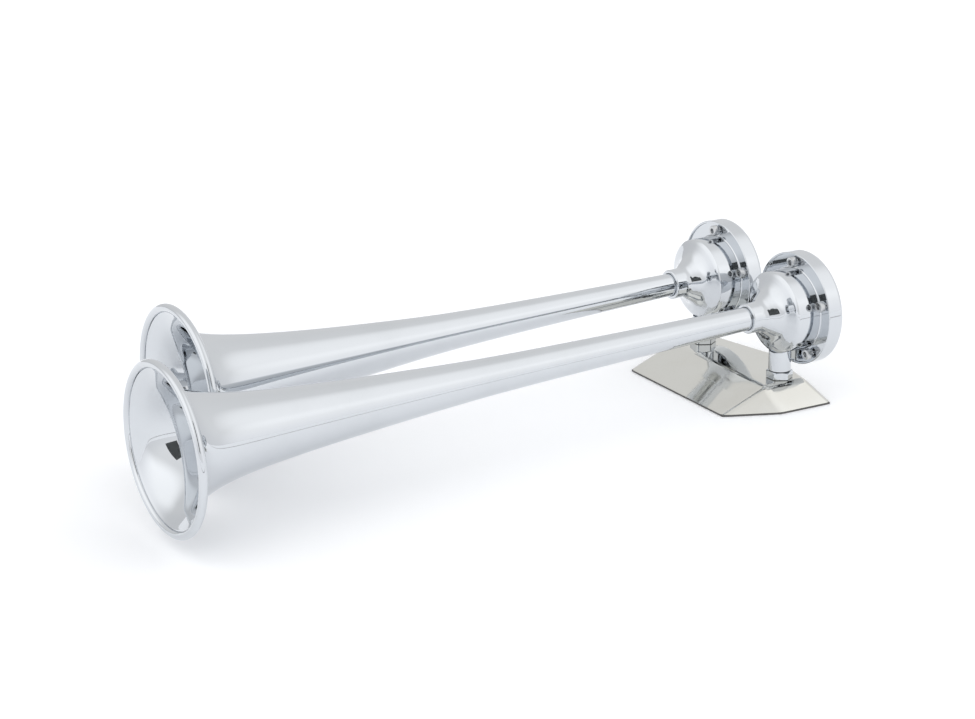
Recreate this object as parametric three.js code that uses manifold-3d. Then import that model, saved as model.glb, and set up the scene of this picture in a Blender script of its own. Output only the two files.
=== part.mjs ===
// Dual trumpet air horn: two chromed trumpets of unlike length, each on a diaphragm housing,
// which stand on posts on one low faceted base.
// Millimetres. +Z is up, the bells open towards -Y and the near, long trumpet is at +X.
// The origin is on the seat, under the base gasket, midway between the two posts.

import * as THREE from 'three';
import { ConvexGeometry } from 'three/addons/geometries/ConvexGeometry.js';
import { mergeVertices } from 'three/addons/utils/BufferGeometryUtils.js';
import Module from 'manifold-3d';

const wasm = await Module();
wasm.setup();

// Clearances
const seatGap = 0.3;
const overrun = 2;

// Trumpets: a reach is from the posts' centre line to the front of the bell
const nearReach = 536;
const farReach = 477;
const bellRadius = 63.5;
const beadRadius = 3.2;
const tubeRadius = 9.2;
const trumpetWall = 1.2;
const spigotLength = 12;
const bellGap = 8.5;
const bellClearance = 9;

// Horn body
const flangeSetback = 12;
const flangeThickness = 5;
const drumRadius = 32.6;
const drumLength = 20;
const drumWall = 3;
const drumFrontWall = 2.8;
const drumEdge = 0.7;
const frontFlareLength = 18.6;
const neckLength = 8.7;
const neckWall = 2.5;
const neckEdge = 1.1;
const throatRadius = 5.5;
const nozzleWall = 2.5;

// Cover screws
const screwHeadRadius = 4.25;
const screwHeadHeight = 5;
const screwHeadClearance = 1.65;
const screwHeadMargin = 0.65;
const screwHeadEdge = 0.4;
const screwShankRadius = 2.5;
const screwEndWall = 3.4;
const hexSocketRadius = 2.4;
const hexSocketDepth = 2.8;

// Gaskets and diaphragm
const gasketThickness = 1;
const gasketWidth = 4.2;
const gasketMargin = 1.2;
const diaphragmThickness = 0.4;
const diaphragmRidge = 0.2;
const beatClearance = 0.4;

// Back cover
const coverLip = 1.3;
const coverPlate = 4.1;
const coverEdge = 0.5;
const coverRound = 5;
const coverPocketDepth = 1.6;
const coverGap = 11.6;

// Posts with their nuts and washers
const postRadius = 8.9;
const stemLength = 16.2;
const tailRadius = 6;
const airRadius = 4;
const tailEnd = 3.4;
const spigotRise = 1.5;
const nutHalfWidth = 9.5;
const postNutHeight = 6;
const lowerNutHeight = 5.5;
const nutChamfer = 0.9;
const washerMargin = 0.7;
const washerThickness = 1.6;

// Base: the plateau's margins are beyond the washers, and its runs are those of the slopes
const baseHeight = 17.1;
const baseWall = 2.5;
const plateauFrontMargin = 12.2;
const plateauBackMargin = 4.5;
const plateauEndMargin = 1.5;
const plateauApex = 14.3;
const plateauSplay = 2.5;
const frontRun = 42.1;
const endRun = 20.1;
const backRun = 10.1;
const padThickness = 1.5;
const padInset = 0.6;
const padPostMargin = 3.8;
const padBoltMargin = 1;
const bossRadius = 6;
const bossInset = 18;
const bossFrontSetback = 15.6;
const bossBackSetback = 9;
const boltHoleRadius = 2.6;
const boltHoleDepth = 6;

// Counts, angles and shares
const screwCount = 5;
const firstScrewAngle = Math.PI / 2;
const beadContactAngle = 2.8;
const nutTurn = 30;
const beadSteps = 6;
const roundSteps = 3;
const trumpetSides = 28;
const bodySides = 28;
const ringSides = 24;
const postSides = 20;
const screwSides = 10;

// How a trumpet narrows: share of its length behind the mouth, share of its widening left there
const nearFlareShares = [
  [0.025, 0.762],
  [0.06, 0.565],
  [0.12, 0.42],
  [0.22, 0.306],
  [0.36, 0.2],
  [0.53, 0.104],
  [0.75, 0.046],
  [1, 0],
];
const farFlareShares = [
  [0.025, 0.77],
  [0.06, 0.6],
  [0.12, 0.473],
  [0.22, 0.345],
  [0.36, 0.222],
  [0.53, 0.112],
  [0.75, 0.046],
  [1, 0],
];

// Where a trumpet's sections meet, in shares of its length behind the mouth
const sectionNames = ['mouth', 'throat', 'taper', 'tube'];
const sectionShares = [0.054, 0.19, 0.46];

// How a horn body's front widens: share of its length behind the neck, share of its widening
const frontShares = [
  [0, 0],
  [0.108, 0.018],
  [0.215, 0.063],
  [0.333, 0.141],
  [0.489, 0.249],
  [0.634, 0.36],
  [0.742, 0.483],
  [0.828, 0.64],
  [0.896, 0.795],
  [0.949, 0.915],
  [1, 1],
];

// Places along a horn, from the posts' centre line, and its radii
const flangeFront = flangeSetback;
const flangeBack = flangeFront + flangeThickness;
const drumFront = flangeFront - drumLength;
const chamberFront = drumFront + drumFrontWall;
const neckBack = drumFront - frontFlareLength;
const neckFront = neckBack - neckLength;
const spigotEnd = neckFront + spigotLength;
const neckBore = tubeRadius + seatGap;
const neckRadius = neckBore + neckWall;
const tubeBore = tubeRadius - trumpetWall;
const flareRadius = bellRadius - 2 * beadRadius;
const chamberRadius = drumRadius - drumWall;
const nozzleRadius = throatRadius + nozzleWall;
const screwCircle = drumRadius + screwHeadClearance + screwHeadRadius;
const flangeRadius = screwCircle + screwHeadRadius + screwHeadMargin;
const screwHoleRadius = screwShankRadius + seatGap;
const gasketOuter = screwCircle - screwShankRadius - gasketMargin;
const gasketInner = gasketOuter - gasketWidth;
const coverBore = flangeRadius + seatGap;
const coverRadius = coverBore + coverLip;

// Places through the diaphragm stack, front to back
const frontGasketStart = flangeBack + seatGap;
const diaphragmStart = frontGasketStart + gasketThickness + beatClearance;
const diaphragmEnd = diaphragmStart + diaphragmThickness;
const rearGasketStart = diaphragmEnd + beatClearance;
const coverRecess = rearGasketStart + gasketThickness + seatGap;
const coverPocket = coverRecess + coverPocketDepth;
const coverBack = coverPocket + coverPlate;
const screwTip = coverBack - screwEndWall - seatGap;

// The axes lie as close as the covers, and the short trumpet's bell beside the long one, allow
const passedRadius = nearTrumpetRadiusAt(nearReach - farReach, nearReach + neckFront);
const bellsApart = bellRadius + passedRadius + bellGap;
const coversApart = 2 * coverRadius + coverGap;
const axisSpacing = Math.max(bellsApart, coversApart);

// The axes lie as high as the bells need to clear the seat, and the stems of the posts to show
const postNutBottom = baseHeight + seatGap;
const postShoulder = postNutBottom + postNutHeight + seatGap;
const bellsHeight = bellRadius + bellClearance;
const stemsHeight = postShoulder + stemLength + drumRadius;
const axisHeight = Math.max(bellsHeight, stemsHeight);

// The posts' parts and the plateau round them, with heights above the seat
const threadBore = tailRadius + seatGap;
const washerRadius = nutHalfWidth + washerMargin;
const plateauFront = washerRadius + plateauFrontMargin;
const plateauBack = washerRadius + plateauBackMargin;
const plateauFrontX = axisSpacing / 2 + washerRadius + plateauEndMargin;
const shellBottom = padThickness + seatGap;
const plateUnderside = baseHeight - baseWall;
const washerBottom = plateUnderside - seatGap - washerThickness;
const lowerNutBottom = washerBottom - seatGap - lowerNutHeight;

// Finishes
const chrome = { color: 0xd9dde2, metalness: 1, roughness: 0.06 };
const polishedBase = { color: 0xc9c6c0, metalness: 1, roughness: 0.08 };
const screwSteel = { color: 0xb9bcc0, metalness: 1, roughness: 0.2 };
const bronze = { color: 0xb08a4e, metalness: 1, roughness: 0.3 };
const rubber = { color: 0x1b1b1c, metalness: 0, roughness: 0.8 };
const fibre = { color: 0x4a4038, metalness: 0, roughness: 0.9 };

// Solids are made about the Y axis, along the horn, or stood upright on Z

function toSolid(geometry) {
  const bare = geometry.clone();
  bare.deleteAttribute('normal');
  bare.deleteAttribute('uv');
  const merged = mergeVertices(bare);
  const vertProperties = Float32Array.from(merged.attributes.position.array);
  const corners = merged.index.array;
  const kept = [];
  let volume = 0;
  for (let i = 0; i < corners.length; i += 3) {
    const [p, q, r] = corners.slice(i, i + 3);
    if (p !== q && q !== r && r !== p) {
      kept.push(p, q, r);
      const [a, b, c] = [p, q, r].map((v) => new THREE.Vector3().fromArray(vertProperties, 3 * v));
      volume += a.dot(b.cross(c));
    }
  }
  const triVerts = Uint32Array.from(volume < 0 ? kept.reverse() : kept);
  return new wasm.Manifold(new wasm.Mesh({ numProp: 3, vertProperties, triVerts }));
}

function toGeometry(solid) {
  const mesh = solid.getMesh();
  const geometry = new THREE.BufferGeometry();
  geometry.setAttribute('position', new THREE.BufferAttribute(mesh.vertProperties, 3));
  geometry.setIndex(new THREE.BufferAttribute(mesh.triVerts, 1));
  geometry.computeVertexNormals();
  return geometry;
}

// Turns an outline of [radius, place] points
function turned(outline, sides) {
  const points = outline.map(([radius, place]) => new THREE.Vector2(radius, place));
  return toSolid(new THREE.LatheGeometry(points, sides));
}

function rod(radius, start, end, sides) {
  const geometry = new THREE.CylinderGeometry(radius, radius, end - start, sides);
  geometry.translate(0, (start + end) / 2, 0);
  return toSolid(geometry);
}

function ring(inner, outer, start, end) {
  return turned([[inner, start], [outer, start], [outer, end], [inner, end], [inner, start]], ringSides);
}

function upright(solid) {
  return solid.rotate([90, 0, 0]);
}

function screwPlaces() {
  return Array.from({ length: screwCount }, (_, i) => {
    const angle = firstScrewAngle + i * 2 * Math.PI / screwCount;
    return [screwCircle * Math.cos(angle), 0, screwCircle * Math.sin(angle)];
  });
}

function drillScrewHoles(solid, start, end) {
  const hole = rod(screwHoleRadius, start, end, screwSides);
  return screwPlaces().reduce((drilled, place) => drilled.subtract(hole.translate(place)), solid);
}

// Outside radius of the near trumpet, which has a given length, at a distance behind its mouth
function nearTrumpetRadiusAt(distance, length) {
  const share = distance / length;
  const next = Math.max(nearFlareShares.findIndex(([along]) => along >= share), 1);
  const [startAlong, startLeft] = nearFlareShares[next - 1];
  const [endAlong, endLeft] = nearFlareShares[next];
  const left = startLeft + (endLeft - startLeft) * (share - startAlong) / (endAlong - startAlong);
  return tubeRadius + left * (flareRadius - tubeRadius);
}

// Whole trumpet: one sheet wall from the tail, inside the neck, to the rolled bead round the mouth
function trumpet(reach, flareShares) {
  const mouth = -reach;
  const length = reach + neckFront;
  const onBead = (angle) => [
    bellRadius - beadRadius + beadRadius * Math.cos(angle),
    mouth + beadRadius + beadRadius * Math.sin(angle),
  ];
  const stations = flareShares.map(([along, left]) => new THREE.Vector2(
    tubeRadius + left * (flareRadius - tubeRadius),
    mouth + along * length,
  ));
  const curve = new THREE.SplineCurve([new THREE.Vector2(...onBead(beadContactAngle)), ...stations]);
  const samples = curve.getPoints(2 * stations.length);
  const outside = samples.map((point) => [point.x, point.y]);
  const inside = samples.map((point, i) => {
    const before = samples[Math.max(i - 1, 0)];
    const after = samples[Math.min(i + 1, samples.length - 1)];
    const along = after.clone().sub(before).normalize();
    return [point.x - trumpetWall * along.y, point.y + trumpetWall * along.x];
  });
  const bead = Array.from({ length: beadSteps + 1 }, (_, i) => onBead(
    beadContactAngle - 2 * beadContactAngle * i / beadSteps,
  ));
  return turned([
    ...outside.slice(1).reverse(),
    ...bead,
    ...inside.slice(1, -1),
    [tubeBore, neckFront],
    [tubeBore, spigotEnd],
    [tubeRadius, spigotEnd],
    outside.at(-1),
  ], trumpetSides);
}

// A trumpet's sections, front to back, brazed end to end
function trumpetSections(reach, flareShares) {
  const whole = trumpet(reach, flareShares);
  const joints = sectionShares.map((share) => share * (reach + neckFront) - reach);
  return sectionNames.map((name, i) => {
    const kept = i === 0 ? whole : whole.trimByPlane([0, 1, 0], joints[i - 1] + seatGap / 2);
    return i === joints.length ? kept : kept.trimByPlane([0, -1, 0], seatGap / 2 - joints[i]);
  });
}

// Horn body: neck, flared front, drum and flange, with the throat nozzle inside the air chamber
function hornBody() {
  const flareRise = drumRadius - drumEdge - neckRadius;
  const flare = frontShares.map(([along, risen]) => [
    neckRadius + flareRise * risen,
    neckBack + frontFlareLength * along,
  ]);
  const boreEnd = spigotEnd + seatGap;
  const nozzleRim = diaphragmStart - beatClearance;
  const solid = turned([
    [neckBore, neckFront],
    [neckRadius - neckEdge, neckFront],
    [neckRadius, neckFront + neckEdge],
    ...flare,
    [drumRadius, drumFront + drumEdge],
    [drumRadius, flangeFront],
    [flangeRadius, flangeFront],
    [flangeRadius, flangeBack],
    [chamberRadius, flangeBack],
    [chamberRadius, chamberFront],
    [nozzleRadius, chamberFront],
    [nozzleRadius, nozzleRim],
    [throatRadius, nozzleRim],
    [throatRadius, chamberFront],
    [tubeBore, boreEnd],
    [neckBore, boreEnd],
    [neckBore, neckFront],
  ], bodySides);
  const inlet = upright(rod(threadBore, -drumRadius - overrun, overrun - chamberRadius, postSides));
  return drillScrewHoles(solid, flangeFront - overrun, flangeBack + overrun).subtract(inlet);
}

// Diaphragm: a thin disc with one raised ring round it
function diaphragm() {
  const ringInner = nozzleRadius;
  const ringOuter = gasketInner - nozzleRadius;
  const ringMiddle = (ringInner + ringOuter) / 2;
  return turned([
    [0, diaphragmStart],
    [ringInner, diaphragmStart],
    [ringMiddle, diaphragmStart + diaphragmRidge],
    [ringOuter, diaphragmStart],
    [gasketOuter, diaphragmStart],
    [gasketOuter, diaphragmEnd],
    [ringOuter, diaphragmEnd],
    [ringMiddle, diaphragmEnd + diaphragmRidge],
    [ringInner, diaphragmEnd],
    [0, diaphragmEnd],
  ], ringSides);
}

// Back cover: a cup whose lip closes round the flange, with a pocket behind the diaphragm
function backCover() {
  const round = Array.from({ length: roundSteps + 1 }, (_, i) => {
    const angle = i / roundSteps * Math.PI / 2;
    return [
      coverRadius - coverRound + coverRound * Math.cos(angle),
      coverBack - coverRound + coverRound * Math.sin(angle),
    ];
  });
  const recessRadius = gasketOuter + seatGap;
  const land = flangeBack + seatGap;
  const solid = turned([
    [0, coverPocket],
    [gasketInner, coverPocket],
    [gasketInner, coverRecess],
    [recessRadius, coverRecess],
    [recessRadius, land],
    [coverBore, land],
    [coverBore, flangeFront],
    [coverRadius - coverEdge, flangeFront],
    [coverRadius, flangeFront + coverEdge],
    ...round,
    [0, coverBack],
  ], bodySides);
  return drillScrewHoles(solid, flangeBack, screwTip + seatGap);
}

// Socket-head screw, pointing backwards from the flange's front face
function coverScrew() {
  const headBack = flangeFront - seatGap;
  const headFront = headBack - screwHeadHeight;
  const screw = turned([
    [0, headFront],
    [screwHeadRadius - screwHeadEdge, headFront],
    [screwHeadRadius, headFront + screwHeadEdge],
    [screwHeadRadius, headBack],
    [screwShankRadius, headBack],
    [screwShankRadius, screwTip],
    [0, screwTip],
  ], screwSides);
  return screw.subtract(rod(hexSocketRadius, headFront - overrun, headFront + hexSocketDepth, 6));
}

// Post: a round stem saddled to the drum, with a spigot above and a threaded tail below
function post() {
  const spigotTop = axisHeight - chamberRadius + spigotRise;
  const stem = upright(rod(postRadius, postShoulder, axisHeight, postSides));
  const saddle = rod(drumRadius + seatGap, -2 * postRadius, 2 * postRadius, 2 * bodySides);
  const core = upright(rod(tailRadius, lowerNutBottom - tailEnd, spigotTop, postSides));
  const airWay = upright(rod(airRadius, -overrun, axisHeight, postSides));
  return stem.subtract(saddle.translate([0, 0, axisHeight])).add(core).subtract(airWay);
}

// Hexagon nut with its upper corners turned off
function hexNut(bottom, height) {
  const cornerRadius = nutHalfWidth / Math.cos(Math.PI / 6);
  const top = bottom + height;
  const hexagon = rod(cornerRadius, bottom, top, 6).rotate([0, nutTurn, 0]);
  const blank = turned([
    [0, bottom - overrun],
    [cornerRadius + overrun, bottom - overrun],
    [cornerRadius + overrun, top - nutChamfer - overrun],
    [cornerRadius, top - nutChamfer],
    [nutHalfWidth, top],
    [0, top],
  ], postSides);
  const bore = rod(threadBore, bottom - overrun, top + overrun, postSides);
  return upright(hexagon.intersect(blank).subtract(bore));
}

function lowerWasher() {
  return upright(ring(threadBore, washerRadius, washerBottom, washerBottom + washerThickness));
}

// The base is drawn for x > 0 and mirrored. Its faces are flat, as each foot edge runs along
// the plateau edge above it.
function footOutline() {
  const endLean = plateauSplay / (plateauFront + plateauBack);
  const backLean = plateauApex / (plateauFrontX + plateauSplay);
  const footBack = plateauBack + backRun;
  const endX = plateauFrontX + endRun + endLean * (plateauFront + footBack);
  return [
    [plateauFrontX, -plateauFront - frontRun],
    [plateauFrontX + endRun, -plateauFront],
    [endX, footBack],
    [0, footBack + backLean * endX],
  ];
}

function plateauOutline() {
  return [
    [plateauFrontX, -plateauFront],
    [plateauFrontX + plateauSplay, plateauBack],
    [0, plateauBack + plateauApex],
  ];
}

// Both halves of an outline at one height, each point drawn in towards the middle by an inset
function mirroredAt(outline, height, inset) {
  return outline.flatMap(([x, y]) => {
    const inX = x === 0 ? 0 : x - inset;
    const inY = y - Math.sign(y) * inset;
    return [new THREE.Vector3(inX, inY, height), new THREE.Vector3(-inX, inY, height)];
  });
}

function hull(points) {
  return toSolid(new ConvexGeometry(points));
}

function bossPlaces() {
  const x = axisSpacing / 2 - bossInset;
  const front = -plateauFront - bossFrontSetback;
  const back = plateauBack + bossBackSetback;
  return [[x, front, 0], [-x, front, 0], [x, back, 0], [-x, back, 0]];
}

function postPlaces() {
  return [[axisSpacing / 2, 0, 0], [-axisSpacing / 2, 0, 0]];
}

function drillUp(solid, radius, start, end, places) {
  const hole = upright(rod(radius, start, end, postSides));
  return places.reduce((drilled, place) => drilled.subtract(hole.translate(place)), solid);
}

// Base: a shell, open below, with blind threaded bosses for the mounting bolts
function baseShell() {
  const outer = hull([
    ...mirroredAt(footOutline(), shellBottom, 0),
    ...mirroredAt(plateauOutline(), baseHeight, 0),
  ]);
  const hollow = hull([
    ...mirroredAt(footOutline(), shellBottom - overrun, baseWall),
    ...mirroredAt(plateauOutline(), plateUnderside, baseWall),
  ]);
  const boss = upright(rod(bossRadius, shellBottom, baseHeight, postSides));
  const bossed = bossPlaces().reduce(
    (shell, place) => shell.add(boss.translate(place).intersect(outer)),
    outer.subtract(hollow),
  );
  const holeTop = shellBottom + boltHoleDepth;
  const bored = drillUp(bossed, boltHoleRadius, shellBottom - overrun, holeTop, bossPlaces());
  return drillUp(bored, threadBore, plateUnderside - overrun, baseHeight + overrun, postPlaces());
}

// Base gasket: a pad under the whole foot, pierced at the posts and the bolts
function baseGasket() {
  const pad = hull([
    ...mirroredAt(footOutline(), 0, padInset),
    ...mirroredAt(footOutline(), padThickness, padInset),
  ]);
  const piercings = [-overrun, padThickness + overrun];
  const atPosts = drillUp(pad, washerRadius + padPostMargin, ...piercings, postPlaces());
  return drillUp(atPosts, boltHoleRadius + padBoltMargin, ...piercings, bossPlaces());
}

// Assembly

function piece(name, solid, finish) {
  const mesh = new THREE.Mesh(toGeometry(solid), new THREE.MeshStandardMaterial(finish));
  mesh.name = name;
  return mesh;
}

function horn(side, reach, flareShares) {
  const group = new THREE.Group();
  const frontGasket = ring(gasketInner, gasketOuter, frontGasketStart, frontGasketStart + gasketThickness);
  const rearGasket = ring(gasketInner, gasketOuter, rearGasketStart, rearGasketStart + gasketThickness);
  group.add(
    ...trumpetSections(reach, flareShares).map((section, i) => (
      piece(`${side}_trumpet_${sectionNames[i]}`, section, chrome)
    )),
    piece(`${side}_horn_body`, hornBody(), chrome),
    piece(`${side}_front_gasket`, frontGasket, fibre),
    piece(`${side}_diaphragm`, diaphragm(), bronze),
    piece(`${side}_rear_gasket`, rearGasket, fibre),
    piece(`${side}_back_cover`, backCover(), chrome),
  );
  screwPlaces().forEach((place, i) => {
    const screw = piece(`${side}_cover_screw_${i + 1}`, coverScrew(), screwSteel);
    screw.position.set(...place);
    group.add(screw);
  });
  group.position.z = axisHeight;
  return group;
}

function postWithNuts(side) {
  const group = new THREE.Group();
  group.add(
    piece(`${side}_post`, post(), chrome),
    piece(`${side}_post_nut`, hexNut(postNutBottom, postNutHeight), chrome),
    piece(`${side}_lower_washer`, lowerWasher(), screwSteel),
    piece(`${side}_lower_nut`, hexNut(lowerNutBottom, lowerNutHeight), screwSteel),
  );
  return group;
}

function hornOnPost(side, reach, flareShares, x) {
  const group = new THREE.Group();
  group.add(horn(side, reach, flareShares), postWithNuts(side));
  group.position.x = x;
  return group;
}

const airHorn = new THREE.Group();
airHorn.add(
  hornOnPost('near', nearReach, nearFlareShares, axisSpacing / 2),
  hornOnPost('far', farReach, farFlareShares, -axisSpacing / 2),
  piece('base_shell', baseShell(), polishedBase),
  piece('base_gasket', baseGasket(), rubber),
);

export default airHorn;
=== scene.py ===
# Dual trumpet air horn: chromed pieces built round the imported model, in metres and in its frame
import math

import bmesh
import bpy
from mathutils import Matrix, Vector


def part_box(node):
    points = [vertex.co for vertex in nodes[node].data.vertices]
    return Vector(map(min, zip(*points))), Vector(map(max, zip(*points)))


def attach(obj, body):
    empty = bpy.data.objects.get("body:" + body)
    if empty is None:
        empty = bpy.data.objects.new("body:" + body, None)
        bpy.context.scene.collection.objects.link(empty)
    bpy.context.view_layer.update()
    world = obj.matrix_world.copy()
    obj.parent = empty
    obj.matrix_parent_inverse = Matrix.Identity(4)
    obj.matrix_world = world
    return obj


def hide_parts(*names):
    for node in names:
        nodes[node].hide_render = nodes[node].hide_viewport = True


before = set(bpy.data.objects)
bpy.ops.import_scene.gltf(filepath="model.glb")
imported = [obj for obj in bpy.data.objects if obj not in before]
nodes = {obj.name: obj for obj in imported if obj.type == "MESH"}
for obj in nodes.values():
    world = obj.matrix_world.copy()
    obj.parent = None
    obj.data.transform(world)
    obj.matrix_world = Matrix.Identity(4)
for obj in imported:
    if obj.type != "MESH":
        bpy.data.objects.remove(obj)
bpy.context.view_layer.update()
sides = ("near", "far")
mm = 0.001
print("frame loaded,", len(nodes), "nodes")

# The picture is 975 x 719. The near horn, on the +X side, has the long trumpet.
cameraLook = {
    "azimuth": 58.33,
    "elevation": 19.99,
    "roll": -0.57,
    "distance": 1.8989,
    "target": Vector((0.01877, -0.25262, 0.0725)),
    "lens": 93.66,
    "sensor": 36,
}


def inScene(name, data):
    made = bpy.data.objects.new(name, data)
    bpy.context.scene.collection.objects.link(made)
    return made


def makeCamera(look):
    azimuth, elevation, roll = (math.radians(look[key]) for key in ("azimuth", "elevation", "roll"))
    level = Vector((math.sin(azimuth), -math.cos(azimuth), 0))
    back = level * math.cos(elevation) + Vector((0, 0, math.sin(elevation)))
    right = Vector((math.cos(azimuth), math.sin(azimuth), 0))
    up = back.cross(right)
    rolledRight = right * math.cos(roll) + up * math.sin(roll)
    rolledUp = up * math.cos(roll) - right * math.sin(roll)
    camera = inScene("camera", bpy.data.cameras.new("camera"))
    camera.data.lens = look["lens"]
    camera.data.sensor_width = look["sensor"]
    turned = Matrix((rolledRight, rolledUp, back)).transposed().to_4x4()
    camera.matrix_world = Matrix.Translation(look["target"] + back * look["distance"]) @ turned
    bpy.context.scene.camera = camera


makeCamera(cameraLook)
print("camera set")


# Shader nodes

def addNode(tree, kind, inputs=None, **settings):
    node = tree.nodes.new(kind)
    for key, value in settings.items():
        setattr(node, key, value)
    for key, value in (inputs or {}).items():
        if isinstance(value, bpy.types.NodeSocket):
            tree.links.new(value, node.inputs[key])
        else:
            node.inputs[key].default_value = value
    return node


def addMath(tree, operation, *values):
    return addNode(tree, "ShaderNodeMath", dict(enumerate(values)), operation=operation).outputs[0]


def addMix(tree, factor, first, second, **settings):
    mix = addNode(tree, "ShaderNodeMix", {"Factor": factor, "A": first, "B": second}, **settings)
    return mix.outputs["Result"]


def newGroup(name, inputs, outputs):
    group = bpy.data.node_groups.new(name, "ShaderNodeTree")
    for label, kind in inputs:
        group.interface.new_socket(label, in_out="INPUT", socket_type=kind)
    for label, kind in outputs:
        group.interface.new_socket(label, in_out="OUTPUT", socket_type=kind)
    return group, group.nodes.new("NodeGroupInput").outputs, group.nodes.new("NodeGroupOutput")


polishTexture = {
    "wave": {"Detail": 1.0, "Roughness": 0.4},
    "rings": {"Scale": 1.0, "Detail": 3.0},
    "cloud": {"Detail": 6.0, "Roughness": 0.6},
    "hazeEdges": {"From Min": 0.42, "From Max": 0.72},
}


def makePolishMarks(texture):
    # Long soft waves left by the buffing wheel, fine rings left by spinning, and a thin haze
    group, given, result = newGroup(
        "polishMarks",
        [("Wave Scale", "NodeSocketFloat"), ("Wave Height", "NodeSocketFloat"),
         ("Ring Scale", "NodeSocketFloat"), ("Ring Height", "NodeSocketFloat"),
         ("Haze Scale", "NodeSocketFloat"), ("Low Roughness", "NodeSocketFloat"),
         ("High Roughness", "NodeSocketFloat"), ("Crown", "NodeSocketFloat"),
         ("Crown Height", "NodeSocketFloat")],
        [("Height", "NodeSocketFloat"), ("Roughness", "NodeSocketFloat"), ("Haze", "NodeSocketFloat")],
    )
    place = addNode(group, "ShaderNodeTexCoord").outputs["Object"]
    wave = addNode(group, "ShaderNodeTexNoise", {
        "Vector": place, "Scale": given["Wave Scale"], **texture["wave"],
    }).outputs[0]
    split = addNode(group, "ShaderNodeSeparateXYZ", {0: place}).outputs
    ringPlace = addMath(group, "MULTIPLY", split["Y"], given["Ring Scale"])
    rings = addNode(group, "ShaderNodeTexNoise", {"W": ringPlace, **texture["rings"]}, noise_dimensions="1D")
    waveHeight = addMath(group, "MULTIPLY", wave, given["Wave Height"])
    height = addMath(group, "MULTIPLY_ADD", rings.outputs[0], given["Ring Height"], waveHeight)
    # A sloped face falls away from its flat more and more below the crown's height
    away = addMath(group, "SUBTRACT", split["Z"], given["Crown Height"])
    fall = addMath(group, "MULTIPLY", addMath(group, "MULTIPLY", away, away), given["Crown"])
    height = addMath(group, "SUBTRACT", height, fall)
    cloud = addNode(group, "ShaderNodeTexNoise", {
        "Vector": place, "Scale": given["Haze Scale"], **texture["cloud"],
    })
    haze = addNode(group, "ShaderNodeMapRange", {
        "Value": cloud.outputs[0], **texture["hazeEdges"],
    }, interpolation_type="SMOOTHSTEP").outputs[0]
    roughness = addNode(group, "ShaderNodeMapRange", {
        "Value": haze, "To Min": given["Low Roughness"], "To Max": given["High Roughness"],
    }).outputs[0]
    group.links.new(height, result.inputs["Height"])
    group.links.new(roughness, result.inputs["Roughness"])
    group.links.new(haze, result.inputs["Haze"])
    return group


mottleTexture = {
    "patches": {"Detail": 4.0},
    "grain": {"Detail": 5.0, "Roughness": 0.65},
}


def makeMottle(texture):
    # Cloudy patches over a fine grain, for pressed, moulded and brushed skins
    group, given, result = newGroup(
        "mottle",
        [("Patch Scale", "NodeSocketFloat"), ("Grain Scale", "NodeSocketFloat"),
         ("Grain Height", "NodeSocketFloat"), ("Stretch", "NodeSocketVector")],
        [("Patches", "NodeSocketFloat"), ("Grain", "NodeSocketFloat"), ("Height", "NodeSocketFloat")],
    )
    place = addNode(group, "ShaderNodeTexCoord").outputs["Object"]
    stretched = addNode(group, "ShaderNodeVectorMath", {0: place, 1: given["Stretch"]}, operation="MULTIPLY")
    patches = addNode(group, "ShaderNodeTexNoise", {
        "Vector": place, "Scale": given["Patch Scale"], **texture["patches"],
    }).outputs[0]
    grain = addNode(group, "ShaderNodeTexNoise", {
        "Vector": stretched.outputs[0], "Scale": given["Grain Scale"], **texture["grain"],
    }).outputs[0]
    height = addMath(group, "MULTIPLY", grain, given["Grain Height"])
    group.links.new(patches, result.inputs["Patches"])
    group.links.new(grain, result.inputs["Grain"])
    group.links.new(height, result.inputs["Height"])
    return group


effects = {"polishMarks": makePolishMarks(polishTexture), "mottle": makeMottle(mottleTexture)}


def newMaterial(name, effect, values):
    material = bpy.data.materials.new(name)
    material.use_nodes = True
    tree = material.node_tree
    shader = tree.nodes["Principled BSDF"]
    group = addNode(tree, "ShaderNodeGroup", node_tree=effects[effect])
    for key, value in values.items():
        group.inputs[key].default_value = value
    bump = addNode(tree, "ShaderNodeBump", {
        "Height": group.outputs["Height"], "Strength": 1.0, "Distance": 1.0,
    })
    tree.links.new(bump.outputs[0], shader.inputs["Normal"])
    return material, tree, shader, group


def plated(name, look):
    material, tree, shader, marks = newMaterial(name, "polishMarks", look["marks"])
    bright, hazy = (*look["color"], 1), (*look["hazeColor"], 1)
    color = addMix(tree, marks.outputs["Haze"], bright, hazy, data_type="RGBA")
    roughness = marks.outputs["Roughness"]
    shader.inputs["Metallic"].default_value = 1
    if "dullColor" in look:
        # Where the mesh says so, the plating was left as it came out of the bath
        dull = addNode(tree, "ShaderNodeAttribute", attribute_name="dull").outputs["Fac"]
        color = addMix(tree, dull, color, (*look["dullColor"], 1), data_type="RGBA")
        roughness = addMix(tree, dull, roughness, look["dullRoughness"])
        tree.links.new(addMix(tree, dull, 1, look["dullMetallic"]), shader.inputs["Metallic"])
    tree.links.new(color, shader.inputs["Base Color"])
    tree.links.new(roughness, shader.inputs["Roughness"])
    return material


def mottled(name, look):
    material, tree, shader, skin = newMaterial(name, "mottle", look["skin"])
    plain, patchy = (*look["color"], 1), (*look["patchColor"], 1)
    color = addMix(tree, skin.outputs["Patches"], plain, patchy, data_type="RGBA")
    smoothest, roughest = look["roughness"]
    roughness = addMix(tree, skin.outputs["Grain"], smoothest, roughest)
    tree.links.new(color, shader.inputs["Base Color"])
    tree.links.new(roughness, shader.inputs["Roughness"])
    shader.inputs["Metallic"].default_value = look["metallic"]
    return material


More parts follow.
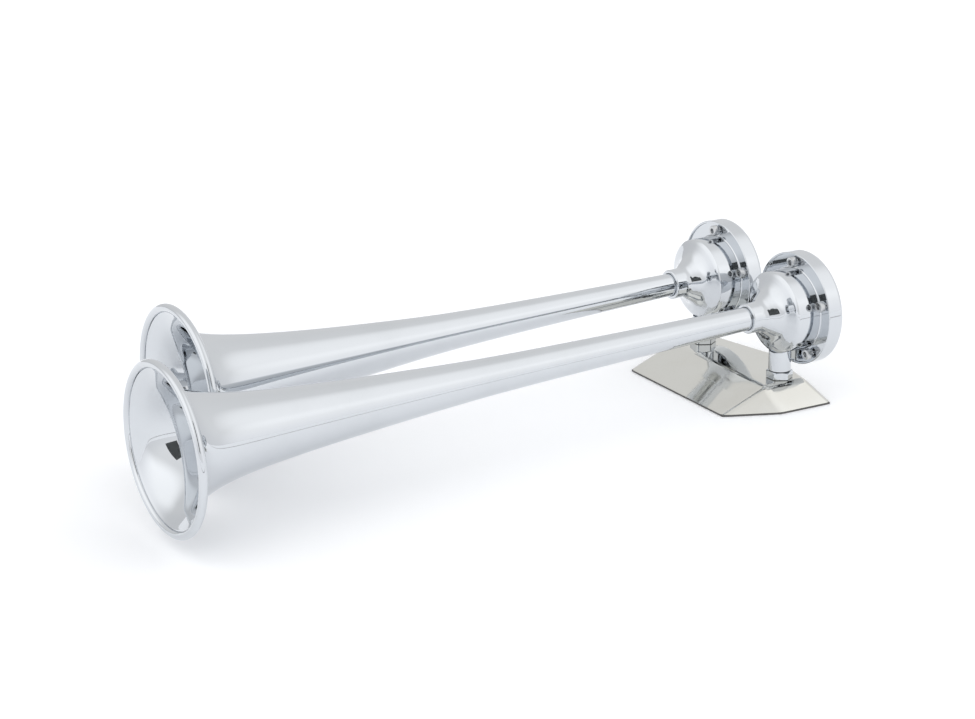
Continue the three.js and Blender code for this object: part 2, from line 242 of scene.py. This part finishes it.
chromeLook = {
    "color": (0.632, 0.655, 0.683),
    "hazeColor": (0.608, 0.632, 0.658),
    "marks": {"Wave Scale": 26.0, "Wave Height": 30e-6, "Ring Scale": 900.0, "Ring Height": 0.15e-6,
              "Haze Scale": 14.0, "Low Roughness": 0.035, "High Roughness": 0.07},
    "dullColor": (0.66, 0.675, 0.69),
    "dullRoughness": 0.6,
    "dullMetallic": 0.2,
}
baseChromeLook = {
    "color": (0.665, 0.665, 0.635),
    "hazeColor": (0.64, 0.635, 0.60),
    "marks": {"Wave Scale": 60.0, "Wave Height": 55e-6, "Ring Scale": 300.0, "Ring Height": 0.0,
              "Haze Scale": 22.0, "Low Roughness": 0.05, "High Roughness": 0.11,
              "Crown": 10.0, "Crown Height": 0.027},
}
screwLook = {
    "color": (0.58, 0.59, 0.60),
    "hazeColor": (0.50, 0.51, 0.52),
    "marks": {"Wave Scale": 160.0, "Wave Height": 8e-6, "Ring Scale": 2400.0, "Ring Height": 0.4e-6,
              "Haze Scale": 160.0, "Low Roughness": 0.10, "High Roughness": 0.24},
}
steelLook = {
    "color": (0.56, 0.57, 0.58),
    "patchColor": (0.47, 0.48, 0.50),
    "roughness": (0.22, 0.42),
    "metallic": 1,
    "skin": {"Patch Scale": 120.0, "Grain Scale": 900.0, "Grain Height": 3e-6, "Stretch": (1, 1, 0.2)},
}
bronzeLook = {
    "color": (0.60, 0.42, 0.20),
    "patchColor": (0.50, 0.34, 0.17),
    "roughness": (0.25, 0.45),
    "metallic": 1,
    "skin": {"Patch Scale": 60.0, "Grain Scale": 1200.0, "Grain Height": 2e-6, "Stretch": (0.1, 1, 1)},
}
fibreLook = {
    "color": (0.075, 0.055, 0.042),
    "patchColor": (0.12, 0.09, 0.07),
    "roughness": (0.75, 0.95),
    "metallic": 0,
    "skin": {"Patch Scale": 300.0, "Grain Scale": 2500.0, "Grain Height": 15e-6, "Stretch": (1, 1, 1)},
}
rubberLook = {
    "color": (0.095, 0.093, 0.092),
    "patchColor": (0.125, 0.122, 0.12),
    "roughness": (0.6, 0.85),
    "metallic": 0,
    "skin": {"Patch Scale": 90.0, "Grain Scale": 1800.0, "Grain Height": 12e-6, "Stretch": (1, 1, 1)},
}
materials = {
    "chrome": plated("chrome", chromeLook),
    "baseChrome": plated("baseChrome", baseChromeLook),
    "screwChrome": plated("screwChrome", screwLook),
    "steel": mottled("brushedSteel", steelLook),
    "bronze": mottled("springBronze", bronzeLook),
    "fibre": mottled("gasketFibre", fibreLook),
    "rubber": mottled("gasketRubber", rubberLook),
}
print("materials made")


# Meshes: rings of points about a horn's axis or about an upright one

cornerShare = 0.45  # the most of a side that one rounded corner takes


def rounded(outline, steps=5, closed=True):
    # Rounds each corner that has a third number, its radius
    points = []
    count = len(outline)
    for i, corner in enumerate(outline):
        here = Vector(corner[:2])
        if len(corner) < 3 or (not closed and i in (0, count - 1)):
            points.append(tuple(here))
            continue
        before = Vector(outline[i - 1][:2]) - here
        after = Vector(outline[(i + 1) % count][:2]) - here
        halfTurn = before.angle(after) / 2
        reach = min(corner[2] / math.tan(halfTurn), cornerShare * before.length, cornerShare * after.length)
        radius = reach * math.tan(halfTurn)
        before.normalize()
        after.normalize()
        centre = here + (before + after).normalized() * radius / math.sin(halfTurn)
        start = here + before * reach - centre
        end = here + after * reach - centre
        for step in range(steps + 1):
            points.append(tuple(centre + start.slerp(end, step / steps).normalized() * radius))
    return points


def ringedMesh(rings, columns, centre, upright=False):
    # Each ring has a radius and a place along the axis, which may change with the angle
    mesh = bmesh.new()
    made = []
    for radius, place in rings:
        ring = []
        for i in range(1 if radius == 0 else columns):
            angle = 2 * math.pi * i / columns
            out = radius(angle) if callable(radius) else radius
            along = place(angle) if callable(place) else place
            across = (out * math.cos(angle), out * math.sin(angle))
            point = (*across, along) if upright else (across[0], along, across[1])
            ring.append(mesh.verts.new(Vector(point) + centre))
        made.append(ring)
    if len(made[0]) > 1:
        made.append(made[0])
    for first, second in zip(made, made[1:]):
        for i in range(columns):
            corners = [first[i % len(first)], first[(i + 1) % len(first)]]
            corners += [second[(i + 1) % len(second)], second[i % len(second)]]
            mesh.faces.new(list(dict.fromkeys(corners)))
    bmesh.ops.recalc_face_normals(mesh, faces=mesh.faces)
    return mesh


def meshData(name, mesh):
    data = bpy.data.meshes.new(name)
    mesh.to_mesh(data)
    mesh.free()
    return data


def addPiece(name, data, material, body, replaced, sharpAngle):
    data.shade_smooth()
    data.set_sharp_from_angle(angle=math.radians(sharpAngle))
    data.materials.clear()
    data.materials.append(materials[material])
    piece = inScene(name, data)
    normals = piece.modifiers.new("evenShading", "WEIGHTED_NORMAL")
    normals.keep_sharp = True
    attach(piece, body)
    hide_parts(*replaced)


def axisOf(node):
    low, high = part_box(node)
    return Vector(((low.x + high.x) / 2, 0, (low.z + high.z) / 2))


trumpetLook = {
    "tubeRadius": 9.2 * mm,
    "wall": 1.2 * mm,
    "beadRadius": 3.2 * mm,
    # Angles on the bead, in radians, where it leaves the flare and where its roll closes on it again
    "beadContact": 2.8,
    "beadClose": 3.1,
    "tailEdge": 0.3 * mm,
    # Behind the mouth, how far the buffing reaches and where the bore is wholly dull
    "polishDepth": 58 * mm,
    "dullDepth": 100 * mm,
    "columns": 192,
    "spanSteps": 14,
    "beadSteps": 40,
    "sharpAngle": 50,
    # Share of the length behind the mouth, share of the widening that is left there
    "nearFlareShares": [
        (0.025, 0.762), (0.06, 0.565), (0.12, 0.42), (0.22, 0.306),
        (0.36, 0.2), (0.53, 0.104), (0.75, 0.046), (1, 0),
    ],
    "farFlareShares": [
        (0.025, 0.77), (0.06, 0.6), (0.12, 0.473), (0.22, 0.345),
        (0.36, 0.222), (0.53, 0.112), (0.75, 0.046), (1, 0),
    ],
}


def throughPoints(points, steps):
    # A smooth curve through the points, as each span's neighbours steer it
    curve = []
    last = len(points) - 1
    for i in range(last):
        before, start, end, after = (points[max(0, min(last, i + k))] for k in (-1, 0, 1, 2))
        leave, arrive = (end - before) / 2, (after - start) / 2
        for step in range(steps):
            t = step / steps
            curve.append(
                (2 * start - 2 * end + leave + arrive) * t ** 3
                + (3 * end - 3 * start - 2 * leave - arrive) * t ** 2 + leave * t + start
            )
    return curve + [points[last]]


def trumpetRings(side, look):
    low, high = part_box(side + "_trumpet_mouth")
    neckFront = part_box(side + "_horn_body")[0].y
    mouth, tail, bellRadius = low.y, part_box(side + "_trumpet_tube")[1].y, (high.x - low.x) / 2
    bead, tube = look["beadRadius"], look["tubeRadius"]
    widening = bellRadius - 2 * bead - tube

    def onBead(angle):
        return Vector((bellRadius - bead + bead * math.cos(angle), mouth + bead + bead * math.sin(angle)))

    stations = [onBead(look["beadContact"])] + [
        Vector((tube + left * widening, mouth + along * (neckFront - mouth)))
        for along, left in look[side + "FlareShares"]
    ]
    outside = throughPoints(stations, look["spanSteps"])
    inside = []
    for before, point, after in zip(outside[:1] + outside, outside, outside[1:]):
        along = (after - before).normalized()
        inside.append(point + look["wall"] * Vector((-along.y, along.x)))
    turn = (look["beadContact"] + look["beadClose"]) / look["beadSteps"]
    roll = [onBead(look["beadContact"] - turn * i) for i in range(look["beadSteps"] + 1)]
    bore = tube - look["wall"]
    end = rounded([
        (bore, neckFront), (bore, tail, look["tailEdge"]), (tube, tail, look["tailEdge"]), (tube, neckFront),
    ], closed=False)
    return [tuple(p) for p in outside[:0:-1][1:] + roll + inside] + end


def leaveBoreDull(mesh, axis, mouth, look):
    # Marks the points whose faces look inwards, more and more with the depth
    layer = mesh.verts.layers.float.new("dull")
    mesh.normal_update()
    for vert in mesh.verts:
        depth = vert.co.y - mouth - look["polishDepth"]
        if vert.normal.dot(Vector((axis.x, vert.co.y, axis.z)) - vert.co) > 0:
            vert[layer] = min(max(depth / (look["dullDepth"] - look["polishDepth"]), 0), 1)


for side in sides:
    rings = trumpetRings(side, trumpetLook)
    axis = axisOf(side + "_trumpet_tube")
    mesh = ringedMesh(rings, trumpetLook["columns"], axis)
    leaveBoreDull(mesh, axis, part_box(side + "_trumpet_mouth")[0].y, trumpetLook)
    sections = sorted(name for name in nodes if name.startswith(side + "_trumpet_"))
    name = side + "Trumpet"
    data = meshData(name, mesh)
    addPiece(name, data, "chrome", side + "_horn", sections, trumpetLook["sharpAngle"])
print("trumpets made")


bodyLook = {
    "neckBore": 9.5 * mm,
    "neckRadius": 12 * mm,
    "neckEdge": 1.1 * mm,
    "neckLip": 0.25 * mm,
    "neckLength": 8.7 * mm,
    "frontLength": 18.6 * mm,
    "frontSteps": 5,
    "drumRadius": 32.6 * mm,
    "drumEdge": 0.7 * mm,
    "drumEdgeRound": 0.35 * mm,
    "drumFoot": 1.2 * mm,
    "flangeThickness": 5 * mm,
    "flangeEdge": 0.15 * mm,
    "chamberRadius": 29.6 * mm,
    "frontWall": 2.8 * mm,
    "nozzleRadius": 8 * mm,
    "throatRadius": 5.5 * mm,
    "tubeBore": 8 * mm,
    "spigotDepth": 12.3 * mm,
    "nozzleSetback": 1.3 * mm,
    "columns": 160,
    "sharpAngle": 35,
    # Share of the front's length behind the neck, share of its widening
    "frontShares": [
        (0, 0), (0.108, 0.018), (0.215, 0.063), (0.333, 0.141), (0.489, 0.249), (0.634, 0.36),
        (0.742, 0.483), (0.828, 0.64), (0.896, 0.795), (0.949, 0.915), (1, 1),
    ],
}


def bodyRings(side, look):
    low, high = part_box(side + "_horn_body")
    neckFront, flangeBack, flangeRadius = low.y, high.y, (high.x - low.x) / 2
    flangeFront = flangeBack - look["flangeThickness"]
    neckBack = neckFront + look["neckLength"]
    drumFront = neckBack + look["frontLength"]
    chamberFront = drumFront + look["frontWall"]
    boreEnd = neckFront + look["spigotDepth"]
    nozzleRim = flangeBack + look["nozzleSetback"]
    widening = look["drumRadius"] - look["drumEdge"] - look["neckRadius"]
    front = throughPoints([
        Vector((look["neckRadius"] + widening * widened, neckBack + look["frontLength"] * along))
        for along, widened in look["frontShares"]
    ], look["frontSteps"])
    return rounded([
        (look["neckBore"], neckFront, look["neckLip"]),
        (look["neckRadius"], neckFront, look["neckEdge"]),
        *(tuple(point) for point in front),
        (look["drumRadius"], drumFront + look["drumEdge"], look["drumEdgeRound"]),
        (look["drumRadius"], flangeFront, look["drumFoot"]),
        (flangeRadius, flangeFront, look["flangeEdge"]),
        (flangeRadius, flangeBack),
        (look["chamberRadius"], flangeBack),
        (look["chamberRadius"], chamberFront),
        (look["nozzleRadius"], chamberFront),
        (look["nozzleRadius"], nozzleRim),
        (look["throatRadius"], nozzleRim),
        (look["throatRadius"], chamberFront),
        (look["tubeBore"], boreEnd),
        (look["neckBore"], boreEnd),
    ])


coverLook = {
    "bore": 43.42 * mm,
    "lipEdge": 0.8 * mm,
    "mouthEdge": 0.05 * mm,
    "backRound": 5 * mm,
    "roundSteps": 14,
    "landDepth": 5.3 * mm,
    "recessDepth": 8.8 * mm,
    "pocketDepth": 10.4 * mm,
    "recessRadius": 35.1 * mm,
    "pocketRadius": 30.6 * mm,
    # A shallow groove turned in the back, inside its round
    "grooveRadii": (33 * mm, 34.4 * mm, 36 * mm, 37.4 * mm),
    "grooveDepth": 0.6 * mm,
    "grooveRound": 0.8 * mm,
    "columns": 160,
    "sharpAngle": 35,
}


def coverRings(side, look):
    low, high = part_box(side + "_back_cover")
    front, back, radius = low.y, high.y, (high.x - low.x) / 2
    land, recess, pocket = (front + look[key] for key in ("landDepth", "recessDepth", "pocketDepth"))
    inner, innerFoot, outerFoot, outer = look["grooveRadii"]
    foot = back - look["grooveDepth"]
    groove = [(outer, back), (outerFoot, foot), (innerFoot, foot), (inner, back)]
    groove = [(*point, look["grooveRound"]) for point in groove]
    return rounded([
        (0, pocket),
        (look["pocketRadius"], pocket),
        (look["pocketRadius"], recess),
        (look["recessRadius"], recess),
        (look["recessRadius"], land),
        (look["bore"], land),
        (look["bore"], front, look["mouthEdge"]),
        (radius, front, look["lipEdge"]),
        (radius, back, look["backRound"]),
        *groove,
        (0, back),
    ], look["roundSteps"], closed=False)


housings = (
    ("HornBody", "_horn_body", bodyRings, bodyLook),
    ("BackCover", "_back_cover", coverRings, coverLook),
)
for side in sides:
    axis = axisOf(side + "_horn_body")
    for ending, node, makeRings, look in housings:
        name = side + ending
        data = meshData(name, ringedMesh(makeRings(side, look), look["columns"], axis))
        addPiece(name, data, "chrome", side + "_horn", [side + node], look["sharpAngle"])
print("housings made")


screwShape = {
    "headRadius": 4.25 * mm,
    "headHeight": 5 * mm,
    "knurlDepth": 0.14 * mm,
    "knurls": 36,
    "knurlStart": 0.75 * mm,
    "faceRadius": 3.65 * mm,
    "faceEdge": 0.35 * mm,
    "shankRadius": 2.5 * mm,
    "tipEdge": 0.4 * mm,
    "socketRadius": 2.4 * mm,
    "socketEdge": 0.15 * mm,
    "socketDepth": 2.8 * mm,
    "columns": 144,
    "sharpAngle": 28,
}
hexagonLook = {
    "cornerEase": 0.985,  # of the sharp corner's radius
    "crispness": 60,  # how tightly a side runs into its eased corner
}


def sixSided(cornerRadius):
    # Radius of a hexagon with slightly eased corners, by angle
    flat = cornerRadius * math.cos(math.pi / 6)
    eased = cornerRadius * hexagonLook["cornerEase"]
    power = hexagonLook["crispness"]

    def radius(angle):
        fromMiddle = angle % (math.pi / 3) - math.pi / 6
        straight = flat / math.cos(fromMiddle)
        return (straight ** -power + eased ** -power) ** (-1 / power)

    return radius


def screwRings(node, look):
    low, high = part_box(node)
    front, tip = low.y, high.y
    seat = front + look["headHeight"]

    def knurled(angle):
        return look["headRadius"] - look["knurlDepth"] * (0.5 - 0.5 * math.cos(angle * look["knurls"]))

    socket = sixSided(look["socketRadius"])
    socketMouth = sixSided(look["socketRadius"] + look["socketEdge"])
    return [
        (0, tip),
        (look["shankRadius"] - look["tipEdge"], tip),
        (look["shankRadius"], tip - look["tipEdge"]),
        (look["shankRadius"], seat),
        (look["headRadius"] - look["knurlDepth"], seat),
        (knurled, seat - look["faceEdge"] / 2),
        (knurled, front + look["knurlStart"]),
        (look["headRadius"] - look["knurlDepth"], front + look["faceEdge"]),
        ((look["headRadius"] + look["faceRadius"]) / 2, front + look["faceEdge"] / 4),
        (look["faceRadius"], front),
        (socketMouth, front),
        (socket, front + look["socketEdge"]),
        (socket, front + look["socketDepth"]),
        (0, front + look["socketDepth"] + look["faceEdge"]),
    ]


for side in sides:
    for node in sorted(name for name in nodes if name.startswith(side + "_cover_screw_")):
        name = side + "CoverScrew" + node.rsplit("_", 1)[1]
        mesh = ringedMesh(screwRings(node, screwShape), screwShape["columns"], axisOf(node))
        data = meshData(name, mesh)
        addPiece(name, data, "screwChrome", side + "_horn", [node], screwShape["sharpAngle"])
print("cover screws made")


postLook = {
    "stemRadius": 8.9 * mm,
    "stemEdge": 0.4 * mm,
    "tailRadius": 6 * mm,
    "airRadius": 4 * mm,
    "airEdge": 0.4 * mm,
    "threadPitch": 1.5 * mm,
    "threadDepth": 0.45 * mm,
    "firstRoot": 0.25,  # in pitches above the tail's end
    "drumGap": 0.3 * mm,
    "columns": 96,
    "sharpAngle": 35,
}
nutLook = {
    "halfWidth": 9.5 * mm,
    "bore": 6.3 * mm,
    "chamfer": 0.9 * mm,
    "leastChamfer": 0.02,  # of the chamfer, left at the middle of a flat
    "topShare": 0.995,  # of the half width, where the chamfer meets the top
    "footEdge": 0.25 * mm,
    "shoulderGap": 0.3 * mm,
    "columns": 144,
    "sharpAngle": 25,
}


def postRings(side, look):
    low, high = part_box(side + "_post")
    axis = axisOf(side + "_horn_body")
    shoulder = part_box(side + "_post_nut")[1].z + nutLook["shoulderGap"]
    saddleRadius = bodyLook["drumRadius"] + look["drumGap"]

    def underDrum(radius):
        return lambda angle: axis.z - math.sqrt(saddleRadius ** 2 - (radius * math.cos(angle)) ** 2)

    thread = []
    turns = int((shoulder - low.z) / look["threadPitch"])
    for i in range(turns):
        height = low.z + (i + look["firstRoot"]) * look["threadPitch"]
        thread.append((look["tailRadius"] - look["threadDepth"], height))
        thread.append((look["tailRadius"], height + look["threadPitch"] / 2))
    return [
        (look["airRadius"], high.z),
        (look["airRadius"], low.z + look["airEdge"]),
        (look["airRadius"] + look["airEdge"], low.z),
        *thread,
        (look["tailRadius"] - look["threadDepth"], shoulder),
        (look["stemRadius"] - look["stemEdge"], shoulder),
        (look["stemRadius"], shoulder + look["stemEdge"]),
        (look["stemRadius"], underDrum(look["stemRadius"])),
        (look["tailRadius"], underDrum(look["tailRadius"])),
        (look["tailRadius"], high.z),
    ]


def nutRings(node, look):
    low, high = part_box(node)
    cornerRadius = look["halfWidth"] / math.cos(math.pi / 6)
    sixSides = sixSided(cornerRadius)
    foot = sixSided(cornerRadius - look["footEdge"])

    def chamferFoot(angle):
        beyond = (sixSides(angle) - look["halfWidth"]) / (cornerRadius - look["halfWidth"])
        return high.z - look["chamfer"] * max(beyond, look["leastChamfer"])

    return [
        (look["bore"], low.z),
        (foot, low.z),
        (sixSides, low.z + look["footEdge"]),
        (sixSides, chamferFoot),
        (look["halfWidth"] * look["topShare"], high.z),
        (look["bore"], high.z),
    ]


nuts = (
    ("PostNut", "_post_nut", "chrome", "chrome"),
    ("LowerNut", "_lower_nut", "steel", "screw_steel"),
)
for side in sides:
    axis = axisOf(side + "_post")
    axis.z = 0
    name = side + "Post"
    post = meshData(name, ringedMesh(postRings(side, postLook), postLook["columns"], axis, upright=True))
    addPiece(name, post, "chrome", side + "_horn", [side + "_post"], postLook["sharpAngle"])
    for ending, node, material, slot in nuts:
        name = side + ending
        rings = nutRings(side + node, nutLook)
        nut = meshData(name, ringedMesh(rings, nutLook["columns"], axis, upright=True))
        addPiece(name, nut, material, side + "_horn", [side + node], nutLook["sharpAngle"])
print("posts and nuts made")


# Base: a hollow casting with eased edges, on a rubber pad
baseLook = {
    "wall": 2.5 * mm,
    "edge": 2.6 * mm,
    "softEdge": 3.8 * mm,
    "edgeSteps": 6,
    "bossRadius": 6 * mm,
    "boltRadius": 2.6 * mm,
    "boltDepth": 6 * mm,
    "bossX": 32.8 * mm,
    "bossY": (-38 * mm, 23.7 * mm),
    "postHole": 6.3 * mm,
    "overrun": 2 * mm,
    "endReach": 30 * mm,
    "footMargin": 1 * mm,
    "flatAngle": 0.5,  # faces of the hull that turn less than this are one
    "weldDigits": 6,  # decimals of a metre at which two corners are one
    "columns": 64,
    "sharpAngle": 20,
}


def hullMesh(points, flatAngle):
    mesh = bmesh.new()
    for point in points:
        mesh.verts.new(point)
    bmesh.ops.convex_hull(mesh, input=mesh.verts)
    bmesh.ops.dissolve_limit(mesh, angle_limit=math.radians(flatAngle), verts=mesh.verts, edges=mesh.edges)
    loose = [vert for vert in mesh.verts if not vert.link_edges]
    bmesh.ops.delete(mesh, geom=loose, context="VERTS")
    return mesh


def rod(radius, bottom, top, columns, x, y):
    rings = [(0, bottom), (radius, bottom), (radius, top), (0, top)]
    return meshData("rod", ringedMesh(rings, columns, Vector((x, y, 0)), upright=True))


def carve(piece, shapes):
    # What is left of the piece when the shapes are taken out of it
    tools = [inScene("tool", shape) for shape in shapes]
    for tool in tools:
        modifier = piece.modifiers.new("carve", "BOOLEAN")
        modifier.operation = "DIFFERENCE"
        modifier.object = tool
        modifier.solver = "EXACT"
    depsgraph = bpy.context.evaluated_depsgraph_get()
    carved = bpy.data.meshes.new_from_object(piece.evaluated_get(depsgraph))
    for used in tools + [piece]:
        bpy.data.objects.remove(used)
    return carved


def baseMesh(look):
    low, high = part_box("base_shell")
    vertices = nodes["base_shell"].data.vertices
    corners = {tuple(round(c, look["weldDigits"]) for c in vert.co) for vert in vertices}
    outer = hullMesh(corners, look["flatAngle"])
    outline = [vert.co.copy() for vert in outer.verts]
    middle = (low.z + high.z) / 2
    hollow = []
    for point in outline:
        hollow.append(Vector((
            point.x - math.copysign(look["wall"], point.x) * (abs(point.x) > look["wall"]),
            point.y - math.copysign(look["wall"], point.y),
            low.z - look["overrun"] if point.z < middle else high.z - look["wall"],
        )))
    # The ridges round each end are worn softer than those along the front and back
    width = outer.edges.layers.float.new("bevel_weight_edge")
    for edge in outer.edges:
        start, end = (vert.co for vert in edge.verts)
        atEnd = start.x * end.x > 0 and abs(start.x - end.x) < look["endReach"]
        if max(start.z, end.z) > low.z + look["footMargin"]:
            edge[width] = 1 if atEnd else look["edge"] / look["softEdge"]
    blank = inScene("baseBlank", meshData("baseBlank", outer))
    bevel = blank.modifiers.new("softRidges", "BEVEL")
    bevel.limit_method = "WEIGHT"
    bevel.width = look["softEdge"]
    bevel.segments = look["edgeSteps"]
    # The bosses are what the hollow leaves standing
    places = [(x, y) for x in (-look["bossX"], look["bossX"]) for y in look["bossY"]]
    columns = look["columns"]
    bosses = [rod(look["bossRadius"], low.z, high.z, columns, *place) for place in places]
    inner = meshData("hollow", hullMesh(hollow, look["flatAngle"]))
    tools = [carve(inScene("hollow", inner), bosses)]
    bottom, top = low.z - look["overrun"], high.z + look["overrun"]
    for place in places:
        tools.append(rod(look["boltRadius"], bottom, low.z + look["boltDepth"], columns, *place))
    for side in sides:
        tools.append(rod(look["postHole"], low.z, top, columns, axisOf(side + "_post").x, 0))
    return carve(blank, tools)


shell = baseMesh(baseLook)
addPiece("baseShell", shell, "baseChrome", "base", ["base_shell"], baseLook["sharpAngle"])
print("base made")


# Solids whose shape is right get their finish
plainFinishes = {
    "_front_gasket": "fibre",
    "_rear_gasket": "fibre",
    "_diaphragm": "bronze",
    "_lower_washer": "steel",
}
for side in sides:
    for ending, material in plainFinishes.items():
        nodes[side + ending].material_slots[0].material = materials[material]
nodes["base_gasket"].material_slots[0].material = materials["rubber"]
print("plain solids finished")


# Studio: a pale floor, a pale surround with three soft lights, and two boards that only the metal mirrors
studioLook = {
    "floorSize": 3.0,
    "floorRight": 0.42,
    "floorColor": (0.97, 0.98, 1.0),
    "floorDrop": 0.2 * mm,
    "level": 0.96,
    "rightLift": 0.12,
    "horizon": (0.91, 0.915, 0.93),
    "horizonEdges": {"From Min": -0.02, "From Max": 0.4},
    # Direction, lift, and how many degrees off it the light starts and is full
    "softLights": [
        ((0.395, 0.493, 0.775), 0.24, 36, 10),
        ((0.84, 0.52, 0.15), 0.2, 34, 10),
        ((-0.16, -0.82, 0.55), 0.42, 46, 22),
    ],
    "panelPlace": (1.566, -1.247, 1.07),
    "panelSize": (0.48, 1.47),
    "panelColor": (0.1, 0.106, 0.105),
    "seamColor": (0.68, 0.68, 0.68),
    "seamHeight": 12 * mm,
    "floorLift": 0.09,
}


def makeWorld(look):
    world = bpy.data.worlds.new("studio")
    world.use_nodes = True
    tree = world.node_tree
    background = tree.nodes["Background"]
    direction = addNode(tree, "ShaderNodeTexCoord").outputs["Generated"]
    parts = addNode(tree, "ShaderNodeSeparateXYZ", {0: direction})
    total = addMath(tree, "MULTIPLY_ADD", parts.outputs["X"], look["rightLift"], look["level"])
    for aim, lift, *edges in look["softLights"]:
        near = addNode(tree, "ShaderNodeVectorMath", {0: direction, 1: aim}, operation="DOT_PRODUCT")
        wide, core = (math.cos(math.radians(angle)) for angle in edges)
        light = addNode(tree, "ShaderNodeMapRange", {
            "Value": near.outputs["Value"], "From Min": wide, "From Max": core, "To Max": lift,
        }, interpolation_type="SMOOTHSTEP")
        total = addMath(tree, "ADD", total, light.outputs[0])
    rise = addNode(tree, "ShaderNodeMapRange", {
        "Value": parts.outputs["Z"], **look["horizonEdges"],
    }, interpolation_type="SMOOTHSTEP")
    white = (1, 1, 1, 1)
    tint = addMix(tree, rise.outputs[0], (*look["horizon"], 1), white, data_type="RGBA")
    surround = addNode(tree, "ShaderNodeVectorMath", {0: tint, 1: total}, operation="MULTIPLY")
    seen = addNode(tree, "ShaderNodeLightPath").outputs["Is Camera Ray"]
    shown = addMix(tree, seen, surround.outputs[0], white, data_type="RGBA")
    tree.links.new(shown, background.inputs["Color"])
    bpy.context.scene.world = world


def flatColor(name, color):
    material = bpy.data.materials.new(name)
    material.use_nodes = True
    shader = material.node_tree.nodes["Principled BSDF"]
    shader.inputs["Base Color"].default_value = (*color, 1)
    shader.inputs["Roughness"].default_value = 1
    shader.inputs["Specular IOR Level"].default_value = 0
    return material


def liftInView(material, lift):
    # The camera, and what the metal mirrors, see the floor a little lighter, so that it is white
    tree = material.node_tree
    shader = tree.nodes["Principled BSDF"]
    ray = addNode(tree, "ShaderNodeLightPath")
    seen = ray.outputs["Is Camera Ray"]
    for kind in ("Is Glossy Ray", "Is Transmission Ray"):
        seen = addMath(tree, "MAXIMUM", seen, ray.outputs[kind])
    shader.inputs["Emission Color"].default_value = (1, 1, 1, 1)
    tree.links.new(addMath(tree, "MULTIPLY", seen, lift), shader.inputs["Emission Strength"])


def stagePlane(name, middle, across, up, material):
    corners = [middle - across - up, middle + across - up, middle + across + up, middle - across + up]
    data = bpy.data.meshes.new(name)
    data.from_pydata([tuple(corner) for corner in corners], [], [(0, 1, 2, 3)])
    data.materials.append(material)
    plane = inScene(name, data)
    return plane


def makeStudio(look):
    size, right, drop = look["floorSize"], look["floorRight"], look["floorDrop"]
    floor = flatColor("paleFloor", look["floorColor"])
    liftInView(floor, look["floorLift"])
    stagePlane("floor", Vector((0, 0, -drop)), Vector((size, 0, 0)), Vector((0, size, 0)), floor)
    seamUp = Vector((0, 0, look["seamHeight"] / 2))
    seamShade = flatColor("seamShade", look["seamColor"])
    seam = stagePlane("seam", Vector((right, 0, 0)) + seamUp, Vector((0, size, 0)), seamUp, seamShade)
    place = Vector(look["panelPlace"])
    width, height = look["panelSize"]
    across = Vector((place.y, -place.x, 0)).normalized() * width / 2
    dark = flatColor("darkBoard", look["panelColor"])
    panel = stagePlane("darkPanel", place, across, Vector((0, 0, height / 2)), dark)
    for board in (seam, panel):
        board.visible_camera = False
        board.visible_diffuse = False
        board.visible_shadow = False
        board.visible_transmission = False


makeWorld(studioLook)
makeStudio(studioLook)
bpy.context.scene.view_settings.view_transform = "Standard"
print("studio set")
